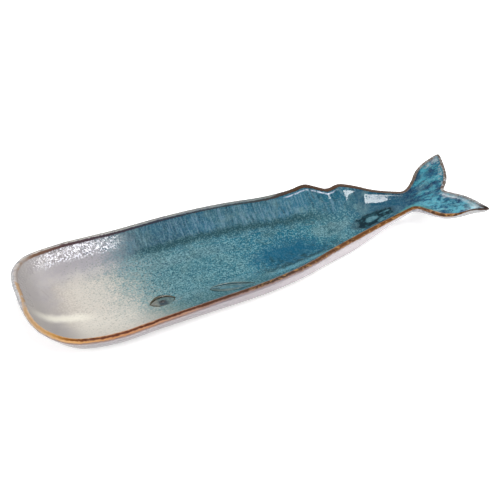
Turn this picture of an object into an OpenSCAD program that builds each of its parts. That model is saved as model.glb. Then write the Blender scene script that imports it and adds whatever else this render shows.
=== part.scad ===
// Whale dish: a long shallow stoneware tray in the outline of a sperm whale.
// The clay shell stands on a bare foot ring and carries three glazes and a drawn eye and fin.
// Millimetres. +X runs to the tail, +Y to the back of the whale, +Z up from the table.

/* [Overall size] */
// Length from the head end to the neck, where the tail begins
body_length = 292; // [280:1:310]
// Length of the tail from the neck to the tips of the flukes
tail_length = 46; // [42:1:54]
// Height of the lip above the table
dish_height = 22; // [20:0.5:28]
// Distance from the long axis to the back edge at its widest
back_reach = 53; // [49:0.5:58]
// Distance from the long axis to the belly edge at the jaw
belly_reach = 54; // [50:0.5:58]

/* [Head] */
// Distance from the long axis to the back edge where the brow starts to round
brow_reach = 50.4; // [47:0.2:54]
// Length of the rounded brow corner along the dish
brow_length = 27; // [24:0.5:34]
// Width of the rounded brow corner across the dish
brow_width = 28; // [26:0.5:34]
// Length of the rounded jaw corner along the dish
jaw_length = 46; // [40:0.5:54]
// Width of the rounded jaw corner across the dish
jaw_width = 52; // [46:0.5:56]

/* [Back edge] */
// Distance from the head end to the widest place of the back
back_crest_at = 131; // [120:1:140]
// Distance from the head end to the saddle behind it
saddle_at = 197; // [190:1:202]
// Distance from the long axis to the back edge at the saddle
saddle_reach = 46.6; // [44:0.2:49]
// Distance from the neck forward to the front hump
front_hump_at = 62.5; // [61:0.5:65]
// Distance from the long axis to the top of the front hump
front_hump_reach = 48.8; // [46:0.2:51]
// Distance from the neck forward to the gap between the humps
hump_gap_at = 50.5; // [49:0.5:52]
// Distance from the long axis to the bottom of the gap
hump_gap_reach = 37.8; // [36:0.2:40]
// Distance from the neck forward to the rear hump
rear_hump_at = 39.5; // [38:0.5:42]
// Distance from the long axis to the top of the rear hump
rear_hump_reach = 39.4; // [37:0.2:42]

/* [Belly edge] */
// Distance from the head end to the place where the belly turns in to the tail
belly_turn_at = 184; // [178:1:190]
// Distance from the long axis to the belly edge at that turn
belly_turn_reach = 42.8; // [40:0.2:46]
// Distance that the belly edge hollows in behind that turn
belly_hollow = 1.5; // [0:0.1:2.5]

/* [Tail] */
// Distance from the long axis to each edge at the neck
neck_reach = 11.5; // [10.5:0.1:13]
// Distance from the tail axis to the tip of each fluke
fluke_reach = 37; // [34:0.5:42]
// Distance from the fluke tips back to the notch between them
notch_depth = 18; // [16:0.5:20]
// Height that the fluke tips rise above the lip
tail_lift = 6; // [2:0.5:8]
// Thickness of the tail from its underside to the top of its lip
tail_thickness = 7.2; // [6.8:0.1:9]
// Thickness of the flukes at their tips
tip_thickness = 5; // [4.8:0.1:7]
// Thickness of the rounded lip on the tail
tail_lip_thickness = 3.2; // [2.8:0.1:4]
// Depth of the tail pan below the round of the lip
pan_depth = 0.9; // [0.8:0.1:1.2]
// Slope of the tail pan between its lip and its floor
pan_slope = 2.6; // [2:0.1:3]
// Overhang of the tail lip beyond the underside of the tail
tail_flare = 5; // [4:0.2:6]
// Distance from the long axis to the notch, on the belly side
notch_shift = 2; // [0:0.5:3]
// Distance before the neck where the lip starts to rise
lip_rise_run = 30; // [24:1:36]
// Distance before the neck where the floor starts to climb
floor_climb_run = 72; // [68:1:78]
// Distance before the neck where the base starts to climb
base_climb_run = 62; // [56:1:64]

/* [Walls] */
// Thickness of the rounded lip
lip_thickness = 4.6; // [3.6:0.1:5.4]
// Height of the floor above the table
floor_height = 7.5; // [6.5:0.1:9]
// Run of the inner wall from lip to floor along the back
back_wall_run = 21; // [18:0.5:23]
// Run of the inner wall from lip to floor along the belly
belly_wall_run = 24; // [21:0.5:26]
// Run of the inner wall from lip to floor at the jaw
jaw_wall_run = 30; // [27:0.5:32]
// Run of the inner wall from lip to floor at the head
head_wall_run = 14; // [12:0.5:16]
// Overhang of the lip beyond the base along the back
back_flare = 13; // [10:0.5:15]
// Overhang of the lip beyond the base along the belly
belly_flare = 11.5; // [9:0.5:13]
// Distance that the base edge hollows in behind the belly turn
base_hollow = 3.5; // [2:0.1:4]
// Overhang of the lip beyond the base at the jaw
jaw_flare = 15; // [12:0.5:17]
// Overhang of the lip beyond the base at the head
head_flare = 15; // [11:0.5:17]

/* [Foot ring] */
// Height of the foot ring
foot_height = 1.6; // [1.2:0.1:2.4]
// Width of the foot ring
foot_width = 5; // [3:0.5:7]
// Distance from the edge of the base in to the foot ring
foot_inset = 3; // [2:0.5:4]

/* [Glaze] */
// Thickness of the glaze coats
glaze = 0.5; // [0.3:0.05:0.8]

/* [Eye and fin] */
// Width of the raised slip line
line_width = 1.8; // [1.2:0.1:2.4]
// Height of the raised slip line
line_height = 1.1; // [0.7:0.1:1.6]
// Distance from the head end to the middle of the eye
eye_at = 92; // [82:0.5:102]
// Length of the eye
eye_length = 17; // [15:0.5:20]
// Width of the eye
eye_width = 11; // [9:0.5:13]
// Distance from the belly edge to the middle of the eye
eye_inset = 30.5; // [27:0.5:34]
// Diameter of the pupil
pupil_width = 4.4; // [3:0.2:4.8]
// Height of the pupil
pupil_height = 1.2; // [0.8:0.1:1.8]
// Distance from the head end to the middle of the fin
fin_at = 140; // [130:1:146]
// Length of the fin
fin_length = 30; // [26:0.5:34]
// Width of the fin
fin_width = 12; // [9:0.5:13]
// Distance from the belly edge to the middle of the fin
fin_inset = 19.5; // [18:0.5:23]
// Angle between the fin and the belly edge
fin_angle = 28; // [20:1:34]

/* [Part] */
// Which piece to draw

/* [Hidden] */
lip_radius = lip_thickness / 2;
tail_lip_radius = tail_lip_thickness / 2;
neck_at = body_length;
tips_at = body_length + tail_length;
// Height where the base of the clay lies, on top of the foot ring
base_height = foot_height;
// Spline points from one outline knot to the next
steps = 3;
// Places where the lip, the floor and the base start to rise to the tail
rise_start = neck_at - lip_rise_run;
floor_climb = neck_at - floor_climb_run;
base_climb = neck_at - base_climb_run;
// Bend of the inner and the outer wall, 1 is straight
inner_bend = 1.5;
outer_bend = 1.35;
// Inset of the tail pan from the edge of the tail
pan_inset = tail_lip_thickness + pan_slope;

function mix(a, b, t) = a + (b - a) * t;
function clamp(t) = min(1, max(0, t));
function ease(t) = let (c = clamp(t)) c * c * (3 - 2 * c);
function unit(v) = v / norm(v);

// Heights of the lip, the floor and the base along the dish
function lip_z(x) = dish_height + tail_lift * pow(max(0, (x - rise_start) / (tips_at - rise_start)), 2);
function floor_z(x, radius) = mix(
    floor_height, lip_z(x) - radius - pan_depth, ease((x - floor_climb) / (neck_at - floor_climb)));
// The tail thins from the neck to the tips of the flukes
function tail_depth(x) = mix(tail_thickness, tip_thickness, ease((x - neck_at) / (notch_at - neck_at)));
function base_z(x) = mix(
    base_height, lip_z(x) - tail_depth(x), ease((x - base_climb) / (neck_at - base_climb)));

// Depth of a shallow hollow of an edge, nothing at its ends
function hollow(depth, t) = let (c = clamp(t)) 4 * depth * c * (1 - c);

// The belly edge runs nearly straight from the jaw to its turn and in a shallow hollow on to the neck
function belly_y(x) = x < belly_turn_at
    ? let (t = (x - jaw_length) / (belly_turn_at - jaw_length))
      -mix(belly_reach, belly_turn_reach, t) - 4 * 0.8 * t * (1 - t)
    : let (t = (x - belly_turn_at) / (neck_at - 12 - belly_turn_at))
      -mix(belly_turn_reach, neck_reach + 1.5, t) + hollow(belly_hollow, t);

// Behind the saddle and the belly turn the floor edge and the base edge run to the neck
function behind(x, start, from, to) = mix(from, to, clamp((x - start) / (neck_at - start)));
pan_reach = neck_reach - pan_inset;
under_reach = neck_reach - tail_flare;
function back_floor_y(x, lip) = x < saddle_at
    ? lip - lip_thickness - back_wall_run
    : behind(x, saddle_at, saddle_reach - lip_thickness - back_wall_run, pan_reach);
function back_base_y(x, lip) = x < saddle_at
    ? lip - back_flare
    : behind(x, saddle_at, saddle_reach - back_flare, under_reach);
function belly_run(x) = mix(jaw_wall_run, belly_wall_run, (x - jaw_length) / (belly_turn_at - jaw_length));
function belly_floor_y(x) = x < belly_turn_at
    ? belly_y(x) + lip_thickness + belly_run(x)
    : -behind(x, belly_turn_at, belly_turn_reach - lip_thickness - belly_wall_run, pan_reach);
function belly_base_y(x) = x < belly_turn_at
    ? belly_y(x) + mix(jaw_flare, belly_flare, (x - jaw_length) / (belly_turn_at - jaw_length))
    : hollow(base_hollow, (x - belly_turn_at) / (neck_at - belly_turn_at))
      - behind(x, belly_turn_at, belly_turn_reach - belly_flare, under_reach);

// An outline knot is its lip point, floor point, base point and lip radius
// The lip thins to the tail lip on the way to the neck
function side_radius(x) = mix(lip_radius, tail_lip_radius, ease((x - floor_climb) / (neck_at - floor_climb)));
function back_knot(x, y) = [[x, y], [x, back_floor_y(x, y)], [x, back_base_y(x, y)], side_radius(x)];
function belly_knot(x) = [[x, belly_y(x)], [x, belly_floor_y(x)], [x, belly_base_y(x)], side_radius(x)];

// A rounded head corner, a little squarer than an ellipse, side is 1 for the brow and -1 for the jaw
function corner_knot(a, side, length, width, middle, wall_run, flare) = let (
    along = pow(cos(a), 0.93),
    across = side * pow(sin(a), 0.93),
    in_x = length - lip_thickness - head_wall_run,
    in_y = width - lip_thickness - wall_run,
    out_x = length - head_flare,
    out_y = width - flare)
    [[length * (1 - along), middle + width * across],
     [length - in_x * along, middle + in_y * across],
     [length - out_x * along, middle + out_y * across],
     lip_radius];
brow_middle = brow_reach - brow_width;
jaw_middle = jaw_width - belly_reach;
function brow_knot(a) = corner_knot(a, 1, brow_length, brow_width, brow_middle, back_wall_run, back_flare);
function jaw_knot(a) = corner_knot(a, -1, jaw_length, jaw_width, jaw_middle, jaw_wall_run, jaw_flare);
head_middle = (brow_middle + jaw_middle) / 2;
head_knot = [[0, head_middle],
             [lip_thickness + head_wall_run, head_middle],
             [head_flare, head_middle],
             lip_radius];

back_side = [
    back_knot(neck_at - 8, mix(neck_reach, rear_hump_reach, 0.14)),
    back_knot(neck_at - 19, mix(neck_reach, rear_hump_reach, 0.40)),
    back_knot(mix(neck_at - 19, neck_at - rear_hump_at, 0.54), mix(neck_reach, rear_hump_reach, 0.78)),
    back_knot(neck_at - rear_hump_at, rear_hump_reach),
    back_knot(neck_at - hump_gap_at, hump_gap_reach),
    back_knot(neck_at - mix(hump_gap_at, front_hump_at, 0.5), mix(hump_gap_reach, front_hump_reach, 0.5)),
    back_knot(neck_at - front_hump_at, front_hump_reach),
    back_knot(mix(neck_at - front_hump_at, saddle_at, 0.4), mix(front_hump_reach, saddle_reach, 0.75)),
    back_knot(saddle_at, saddle_reach),
    back_knot(mix(saddle_at, back_crest_at, 0.48), mix(saddle_reach, back_reach, 0.66)),
    back_knot(back_crest_at, back_reach),
    back_knot(mix(brow_length, back_crest_at, 0.5), mix(brow_reach, back_reach, 0.4)),
    brow_knot(90),
    brow_knot(60),
    brow_knot(30),
    brow_knot(0)];
belly_side = concat(
    [jaw_knot(0), jaw_knot(30), jaw_knot(60), jaw_knot(90)],
    [for (t = [0.28, 0.58, 0.86]) belly_knot(mix(jaw_length, belly_turn_at, t))],
    [for (t = [0.15, 0.28, 0.4, 0.52, 0.62, 0.71, 0.8, 0.9, 1])
        belly_knot(mix(belly_turn_at, neck_at - 12, t))]);

// Flukes: edge points from root to tip as shares of fluke length and fluke reach
// The near fluke is fuller at its root and hollow before its tip
notch_at = tips_at - notch_depth;
notch = [notch_at, -notch_shift];
far_lead = [[0.24, 0.52], [0.42, 0.75], [0.60, 0.89], [0.78, 0.97]];
far_trail = [[0.30, 0.16], [0.58, 0.36], [0.76, 0.58], [0.90, 0.78]];
near_lead = [[0.13, 0.54], [0.25, 0.71], [0.45, 0.83], [0.74, 0.88]];
near_trail = [[0.22, 0.17], [0.55, 0.40], [0.73, 0.61], [0.84, 0.79]];
function lead_shape(side) = side > 0 ? far_lead : near_lead;
function trail_shape(side) = side > 0 ? far_trail : near_trail;
function tip_inset(side) = side > 0 ? 0.5 : 1.2;
function lead_point(s, side) = [mix(neck_at + 1, tips_at, s[0]), side * mix(0, fluke_reach, s[1])];
function trail_point(s, side) = [mix(notch_at, tips_at, s[0]), mix(notch.y, side * fluke_reach, s[1])];
// Edge knot of a fluke, set in towards the edge across from it
function edge_knot(edge, across) = let (
    w = norm(across - edge),
    inward = (across - edge) / w)
    [edge,
     edge + inward * min(pan_inset, 0.42 * w),
     edge + inward * min(tail_flare, 0.38 * w),
     min(tail_lip_radius, 0.16 * w)];
function fluke_lead(side) = [for (i = [0:3])
    edge_knot(lead_point(lead_shape(side)[i], side), trail_point(trail_shape(side)[i], side))];
function fluke_trail(side) = [for (i = [0:3])
    edge_knot(trail_point(trail_shape(side)[i], side), lead_point(lead_shape(side)[i], side))];
function fluke_tip(side) = let (
    tip = [tips_at - tip_inset(side), side * fluke_reach],
    last = (lead_point(lead_shape(side)[3], side) + trail_point(trail_shape(side)[3], side)) / 2,
    inward = unit(last - tip))
    [tip, tip + inward * 4.4, tip + inward * 4, min(tail_lip_radius, 1.6)];
notch_knot = [notch, notch - [pan_inset, 0], notch - [tail_flare, 0], tail_lip_radius];
function neck_knot(side) = let (lip = [neck_at, side * neck_reach])
    [lip, [neck_at, side * pan_reach], [neck_at, side * under_reach], tail_lip_radius];
function reversed(list) = [for (i = [len(list) - 1:-1:0]) list[i]];

// Knots round the dish, from the notch over the far fluke, the back, the head and the belly
knots = concat(
    [notch_knot], fluke_trail(1), [fluke_tip(1)], reversed(fluke_lead(1)),
    [neck_knot(1)], back_side, [head_knot], belly_side, [neck_knot(-1)],
    fluke_lead(-1), [fluke_tip(-1)], reversed(fluke_trail(-1)));
around = len(knots) * steps;
far_neck = 10 * steps;
near_neck = around - far_neck;
far_tip = far_neck / 2;
head_end = around / 2;

// A smooth closed ring through one point for each knot, its slopes weighed by the knot distances
function slope(a, b, c) = let (d = norm(b - a), e = norm(c - b))
    ((b - a) * e / d + (c - b) * d / e) / (d + e);
function bend(b, c, from, to, t) = let (d = norm(c - b))
    b * (1 + 2 * t) * pow(1 - t, 2) + c * (3 - 2 * t) * t * t + d * t * (1 - t) * (from * (1 - t) - to * t);
function ring(p) = let (
    n = len(p),
    slopes = [for (i = [0:n - 1]) slope(p[(i + n - 1) % n], p[i], p[(i + 1) % n])])
    [for (i = [0:n - 1], k = [0:steps - 1])
        bend(p[i], p[(i + 1) % n], slopes[i], slopes[(i + 1) % n], k / steps)];
function inward(k) = unit(k[1] - k[0]);
function at(p, z) = [p.x, p.y, z];

// Rings of the inner wall (share 0 at the floor, 1 at the lip), the lip and the outer wall.
// The skin is 0 on top of the glaze and the glaze thickness on the clay below it.
function wall_ring(s, skin) = ring([for (k = knots) let (
    top = k[0] + inward(k) * 2 * k[3],
    z0 = floor_z(k[0].x, k[3]),
    z1 = lip_z(k[0].x) - k[3])
    at(mix(k[1], top, s) - inward(k) * skin * sin(90 * s),
       mix(z0, z1, pow(s, inner_bend)) - skin * cos(90 * s))]);
function lip_ring(a, skin) = ring([for (k = knots)
    at(k[0] + inward(k) * (k[3] + (k[3] - skin) * cos(a)),
       lip_z(k[0].x) - k[3] + (k[3] - skin) * sin(a))]);
function side_ring(s, skin) = ring([for (k = knots) let (
    z0 = base_z(k[0].x) - glaze * sin(45),
    z1 = lip_z(k[0].x) - k[3])
    at(mix(k[0], k[2], s) + inward(k) * skin * cos(45 * s),
       mix(z0, z1, pow(1 - s, outer_bend)) + skin * sin(45 * s))]);

// Number of ring points from a ring point to the nearest end of its branch, the junction being 0
function from_junction(i) = i < far_neck ? min(i, far_neck - i)
    : i < near_neck ? min(i - far_neck, near_neck - i)
    : min(i - near_neck, around - i);
// Middle line of the floor or of the base: the junction, the far fluke, the body and the near fluke
// Each branch stops short of its end, where the last ring points fan out from its last point
fluke_count = far_tip - steps;
body_count = head_end - far_neck - 3 * steps;
function middle_id(i) = let (j = i % around, d = from_junction(j))
    d == 0 ? 0
    : j < far_neck ? min(d, fluke_count)
    : j < near_neck ? fluke_count + min(d, body_count)
    : fluke_count + body_count + min(d, fluke_count);
function middle_line(r) = concat(
    [(r[0] + r[far_neck] + r[near_neck]) / 3],
    [for (d = [1:fluke_count]) (r[d] + r[far_neck - d]) / 2],
    [for (d = [1:body_count]) (r[far_neck + d] + r[near_neck - d]) / 2],
    [for (d = [1:fluke_count]) (r[near_neck + d] + r[around - d]) / 2]);
middle_size = 1 + 2 * fluke_count + body_count;

// Faces between ring a and the next ring out, b, and between a middle line and its ring
function next(i) = (i + 1) % around;
function halves(a, b, c, d) = [[a, b, c], [a, c, d]];
function band(a, b) = [for (i = [0:around - 1]) each halves(a + i, a + next(i), b + next(i), b + i)];
function fill_faces(m, r, i) = middle_id(i) == middle_id(i + 1)
    ? [[m + middle_id(i), r + next(i), r + i]]
    : halves(m + middle_id(i), m + middle_id(i + 1), r + next(i), r + i);
function fill(m, r, from = 0, to = around - 1) = [for (i = [from:to]) each fill_faces(m, r, i)];
function turned(faces) = [for (f = faces) reversed(f)];
function joined(lists) = [for (l = lists) each l];
// Side faces that close a coat along a loop of points, its second skin lying further on in the list
function edge_faces(loop, shift) = [for (i = [0:len(loop) - 1]) let (j = (i + 1) % len(loop))
    each halves(loop[i], loop[j], loop[j] + shift, loop[i] + shift)];

wall_shares = [0, 1 / 4, 1 / 2, 3 / 4, 1];
lip_angles = [0, 45, 90, 135, 180];
side_shares = [0, 1 / 3, 2 / 3, 1];
function wall_rings(skin) = [for (s = wall_shares) wall_ring(s, skin)];
function lip_rings(skin) = [for (a = lip_angles) lip_ring(a, skin)];
function side_rings(skin) = [for (s = side_shares) side_ring(s, skin)];
// First point of ring number k where a middle line comes first
function start(k) = middle_size + k * around;

// The origin lies under the middle of the outline
outline = side_ring(0, 0);
centre_x = (min([for (p = outline) p.x]) + max([for (p = outline) p.x])) / 2;
centre_y = (min([for (p = outline) p.y]) + max([for (p = outline) p.y])) / 2;
module place() {
    translate([-centre_x, -centre_y, 0]) children();
}

// Pressed stoneware shell with floor, walls, lip and tail
module clay_body() {
    walls = wall_rings(glaze);
    lips = lip_rings(glaze);
    sides = side_rings(glaze);
    rings = concat(walls, [for (i = [1:3]) lips[i]], sides);
    last = len(rings) - 1;
    base_middle = start(len(rings));
    color("burlywood") place() polyhedron(
        points = concat(middle_line(walls[0]), joined(rings), middle_line(rings[last])),
        faces = concat(
            fill(0, start(0)),
            joined([for (k = [0:last - 1]) band(start(k), start(k + 1))]),
            turned(fill(base_middle, start(last)))));
}

// Low clay ring under the floor, left bare
function foot_loop(inset) = let (
    used = [for (i = [19:len(knots) - 20]) knots[i]],
    edge = [for (k = used) k[2] + inward(k) * inset],
    rear = [edge[0].x + 12 - inset, (edge[0].y + edge[len(edge) - 1].y) / 2])
    ring(concat(edge, [rear]));
module foot_ring() {
    color("tan") place() linear_extrude(foot_height) difference() {
        polygon(foot_loop(foot_inset));
        polygon(foot_loop(foot_inset + foot_width));
    }
}

// Teal and blue glaze over the floor, the inner walls and the flukes
module inner_glaze() {
    top = wall_rings(0);
    under = wall_rings(glaze);
    last = len(top) - 1;
    size = start(last + 1);
    skin = concat(
        fill(0, start(0)),
        joined([for (k = [0:last - 1]) band(start(k), start(k + 1))]));
    color("cadetblue") place() polyhedron(
        points = concat(middle_line(top[0]), joined(top), middle_line(under[0]), joined(under)),
        faces = concat(
            skin,
            turned([for (f = skin) [for (v = f) v + size]]),
            edge_faces([for (i = [0:around - 1]) start(last) + i], size)));
}

// Iron-brown glaze band round the lip
module rim_glaze() {
    top = lip_rings(0);
    under = lip_rings(glaze);
    last = len(top) - 1;
    size = len(top) * around;
    skin = joined([for (k = [0:last - 1]) band(k * around, (k + 1) * around)]);
    color("sienna") place() polyhedron(
        points = concat(joined(top), joined(under)),
        faces = concat(
            skin,
            turned([for (f = skin) [for (v = f) v + size]]),
            edge_faces([for (i = [0:around - 1]) last * around + i], size),
            edge_faces([for (i = [around - 1:-1:0]) i], size)));
}

// Pale glaze on the outer wall and under the tail, the base of the body being bare
module outer_glaze() {
    top = side_rings(0);
    under = side_rings(glaze);
    last = len(top) - 1;
    size = start(last + 1);
    // The tail underside is coated up to a line across the base behind the foot ring
    back_end = far_neck + 7 * steps;
    belly_end = near_neck - 7 * steps;
    skin = concat(
        joined([for (k = [0:last - 1]) band(start(k), start(k + 1))]),
        turned(fill(0, start(last), 0, back_end - 1)),
        turned(fill(0, start(last), belly_end, around - 1)));
    bare = concat([for (i = [back_end:belly_end]) start(last) + i], [middle_id(back_end)]);
    color("thistle") place() polyhedron(
        points = concat(middle_line(top[last]), joined(top), middle_line(under[last]), joined(under)),
        faces = concat(
            skin,
            turned([for (f = skin) [for (v = f) v + size]]),
            edge_faces(bare, size),
            edge_faces([for (i = [around - 1:-1:0]) start(0) + i], size)));
}

// Height of the inner glaze above the floor beside the belly, where the eye and the fin are drawn
wall_heights = [for (s = wall_shares) [s, pow(s, inner_bend)]];
function belly_rise(p) = let (
    foot = belly_floor_y(p.x),
    share = clamp((foot - p.y) / belly_run(p.x)))
    (lip_z(p.x) - lip_radius - floor_height) * lookup(share, wall_heights);
function turn_by(p, a) = [p.x * cos(a) - p.y * sin(a), p.x * sin(a) + p.y * cos(a)];

// A raised slip line with a rounded top along a closed path, laid on the floor and the belly wall
line_turns = 48;
line_shape = [[0.5, 0], [0.38, 0.6], [0, 1], [-0.38, 0.6], [-0.5, 0]];
function almond(a, length, width) = [length / 2 * cos(a), width / 2 * sin(a) * pow(abs(sin(a)), 0.45)];
module slip_line(middle, turn, length, width) {
    n = line_turns;
    m = len(line_shape);
    points = [for (p = line_shape, i = [0:n - 1]) let (
        grow = 2 * p[0] * line_width,
        q = middle + turn_by(almond(i * 360 / n, length + grow, width + grow), turn))
        at(q, floor_height + belly_rise(q) + p[1] * line_height)];
    polyhedron(
        points = points,
        faces = [for (k = [0:m - 1], i = [0:n - 1]) let (a = k * n, b = ((k + 1) % m) * n, j = (i + 1) % n)
            each halves(b + i, b + j, a + j, a + i)]);
}
eye_middle = [eye_at, belly_y(eye_at) + eye_inset];
fin_middle = [fin_at, belly_y(fin_at) + fin_inset];
fin_turn = atan2(belly_y(fin_at + 10) - belly_y(fin_at - 10), 20) - fin_angle;

// Raised line round the eye
module eye_line() {
    color("darkolivegreen") place() slip_line(eye_middle, 0, eye_length, eye_width);
}

// Raised dot in the eye
module pupil() {
    low_side = eye_middle + [0, pupil_width / 2];
    color("saddlebrown") place()
        translate(at(eye_middle, floor_height + belly_rise(low_side))) rotate_extrude($fn = 40)
        intersection() {
            square([pupil_width, pupil_height]);
            scale([pupil_width / 2, pupil_height]) circle(1, $fn = 40);
        }
}

// Raised line of the flipper beside the belly wall
module fin_line() {
    color("darkolivegreen") place() slip_line(fin_middle, fin_turn, fin_length, fin_width);
}

clay_body();
foot_ring();
inner_glaze();
rim_glaze();
outer_glaze();
eye_line();
pupil();
fin_line();
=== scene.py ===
import math
import bpy
import bmesh
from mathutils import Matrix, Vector, noise
from mathutils.bvhtree import BVHTree
from mathutils.kdtree import KDTree


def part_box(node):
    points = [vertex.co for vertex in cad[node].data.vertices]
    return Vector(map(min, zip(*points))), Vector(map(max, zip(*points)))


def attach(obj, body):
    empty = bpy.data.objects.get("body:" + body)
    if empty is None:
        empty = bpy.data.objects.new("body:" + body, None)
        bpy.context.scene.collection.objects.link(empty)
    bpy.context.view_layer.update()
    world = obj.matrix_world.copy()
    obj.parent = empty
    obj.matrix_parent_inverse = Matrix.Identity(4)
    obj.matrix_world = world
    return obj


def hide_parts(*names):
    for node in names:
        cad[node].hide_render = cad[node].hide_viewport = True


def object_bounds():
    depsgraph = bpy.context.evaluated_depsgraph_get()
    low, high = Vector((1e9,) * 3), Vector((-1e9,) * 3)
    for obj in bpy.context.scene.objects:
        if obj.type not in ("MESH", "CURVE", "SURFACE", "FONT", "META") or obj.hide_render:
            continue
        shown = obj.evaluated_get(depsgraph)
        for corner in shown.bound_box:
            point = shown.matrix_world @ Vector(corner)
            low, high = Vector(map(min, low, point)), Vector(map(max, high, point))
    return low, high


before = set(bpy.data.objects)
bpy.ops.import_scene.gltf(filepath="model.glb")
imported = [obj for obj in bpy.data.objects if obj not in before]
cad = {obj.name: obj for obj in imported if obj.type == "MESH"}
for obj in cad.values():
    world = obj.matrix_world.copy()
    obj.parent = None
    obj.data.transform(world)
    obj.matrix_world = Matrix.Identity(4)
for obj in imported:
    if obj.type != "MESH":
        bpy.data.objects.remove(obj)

cad_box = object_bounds()


# Clay body: the shell of the dish, one piece of buff stoneware pressed over a mould and trimmed.
# Glaze hides it everywhere but on the base, where the bare fired clay shows.
same_point = 2e-6
any_angle = 3.1
cage_edge = 0.0052


def shell_of(*names):
    bm = bmesh.new()
    for order, name in enumerate(names):
        before = set(bm.faces)
        bm.from_mesh(cad[name].data)
        for face in bm.faces:
            if face not in before:
                face.material_index = order
    bmesh.ops.remove_doubles(bm, verts=bm.verts, dist=same_point)
    return bm


def smooth_through_corners(bm, levels):
    bmesh.ops.join_triangles(bm, faces=bm.faces, angle_face_threshold=any_angle,
                             angle_shape_threshold=any_angle, cmp_materials=True)
    for pieces in (8, 6, 5, 4, 3, 2):
        long = [e for e in bm.edges if e.calc_length() > cage_edge * (pieces - 0.4)]
        bmesh.ops.subdivide_edges(bm, edges=long, cuts=pieces - 1, use_grid_fill=True)
    cage = bpy.data.meshes.new("cage")
    bm.to_mesh(cage)
    bm.free()
    holder = bpy.data.objects.new("cage", cage)
    bpy.context.scene.collection.objects.link(holder)
    smooth = holder.modifiers.new("smooth", "SUBSURF")
    smooth.levels = smooth.render_levels = levels
    corners = [v.co.copy() for v in cage.vertices]
    for pull in (0.8, 0.6):
        seen = holder.evaluated_get(bpy.context.evaluated_depsgraph_get()).data
        moves = [corner - seen.vertices[i].co for i, corner in enumerate(corners)]
        for v, move in zip(cage.vertices, moves):
            v.co += move * pull
        cage.update()
    shape = bpy.data.meshes.new_from_object(holder.evaluated_get(bpy.context.evaluated_depsgraph_get()))
    bpy.data.objects.remove(holder)
    out = bmesh.new()
    out.from_mesh(shape)
    bpy.data.meshes.remove(shape)
    out.normal_update()
    return out


def show(name, mesh, material, slot, *nodes):
    piece = bpy.data.objects.new(name, mesh)
    bpy.context.scene.collection.objects.link(piece)
    for face in mesh.polygons:
        face.use_smooth = True
        face.material_index = 0
    mesh.materials.clear()
    mesh.materials.append(material)
    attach(piece, "root")
    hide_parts(*nodes)


def feed(tree, node, inputs):
    for key, value in inputs.items():
        socket = node.inputs[key]
        if isinstance(value, bpy.types.NodeSocket):
            tree.links.new(value, socket)
        elif socket.type == "RGBA":
            socket.default_value = (*value, 1)
        else:
            socket.default_value = value


def put(tree, kind, inputs=None, **settings):
    node = tree.nodes.new(kind)
    for key, value in settings.items():
        setattr(node, key, value)
    feed(tree, node, inputs or {})
    return node


def object_place(tree):
    return put(tree, "ShaderNodeTexCoord").outputs["Object"]


def sums(tree, how, a, b=0.0, c=0.0):
    return put(tree, "ShaderNodeMath", {0: a, 1: b, 2: c}, operation=how).outputs[0]


def times(tree, first, *others):
    for other in others:
        first = sums(tree, "MULTIPLY", first, other)
    return first


def scaled(tree, value, by, plus):
    return sums(tree, "MULTIPLY_ADD", value, by, plus)


def rise(tree, value, low, high):
    return put(tree, "ShaderNodeMapRange", {"Value": value, "From Min": low, "From Max": high},
               interpolation_type="SMOOTHSTEP").outputs[0]


def grain(tree, place, size, detail=2.0, rough=0.5, stretch=(1, 1, 1)):
    if stretch != (1, 1, 1):
        place = put(tree, "ShaderNodeVectorMath", {0: place, 1: stretch}, operation="MULTIPLY").outputs[0]
    return put(tree, "ShaderNodeTexNoise", {"Vector": place, "Scale": 1 / size, "Detail": detail,
                                            "Roughness": rough}, noise_dimensions="3D").outputs["Fac"]


def tint(tree, share, under, over, how="MIX"):
    return put(tree, "ShaderNodeMix", {"Factor": share, 6: under, 7: over},
               data_type="RGBA", blend_type=how).outputs[2]


def lay(tree, under, paint, strength, *masks):
    return tint(tree, times(tree, *masks, strength), under, paint)


def bumps(tree, height, strength, depth):
    return put(tree, "ShaderNodeBump", {"Strength": strength, "Distance": depth, "Height": height}).outputs[0]


def new_finish(name, constants):
    finish = bpy.data.materials.new(name)
    finish.use_nodes = True
    shader = finish.node_tree.nodes["Principled BSDF"]
    feed(finish.node_tree, shader, constants)
    return finish, finish.node_tree, shader


clay_finish, tree, shader = new_finish("buff_stoneware", {"IOR": 1.45})
place = object_place(tree)
grog = grain(tree, place, 0.0009)
iron = rise(tree, grain(tree, place, 0.0016, 1), 0.68, 0.74)
colour = tint(tree, grain(tree, place, 0.02, 3), (0.47, 0.37, 0.27), (0.60, 0.49, 0.37))
colour = lay(tree, colour, (0.36, 0.28, 0.20), 0.5, grog)
colour = tint(tree, iron, colour, (0.13, 0.08, 0.05))
feed(tree, shader, {"Base Color": colour, "Roughness": scaled(tree, grog, 0.2, 0.68),
                    "Normal": bumps(tree, grog, 0.5, 0.0003)})

bm = smooth_through_corners(shell_of("clay_body"), 1)
clay = bpy.data.meshes.new("clay_body_fired")
bm.to_mesh(clay)
bm.free()
show("clay_body_fired", clay, clay_finish, "clay", "clay_body")


# Foot ring: a low ring of the same clay, luted on to the base and rubbed smooth on its resting face.
# It is left bare so that the dish does not stick to the kiln shelf.
foot_round = 0.0004


def in_mm(tree, place, axis):
    apart = put(tree, "ShaderNodeSeparateXYZ", {"Vector": place})
    return times(tree, apart.outputs[axis], 1000.0)


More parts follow.
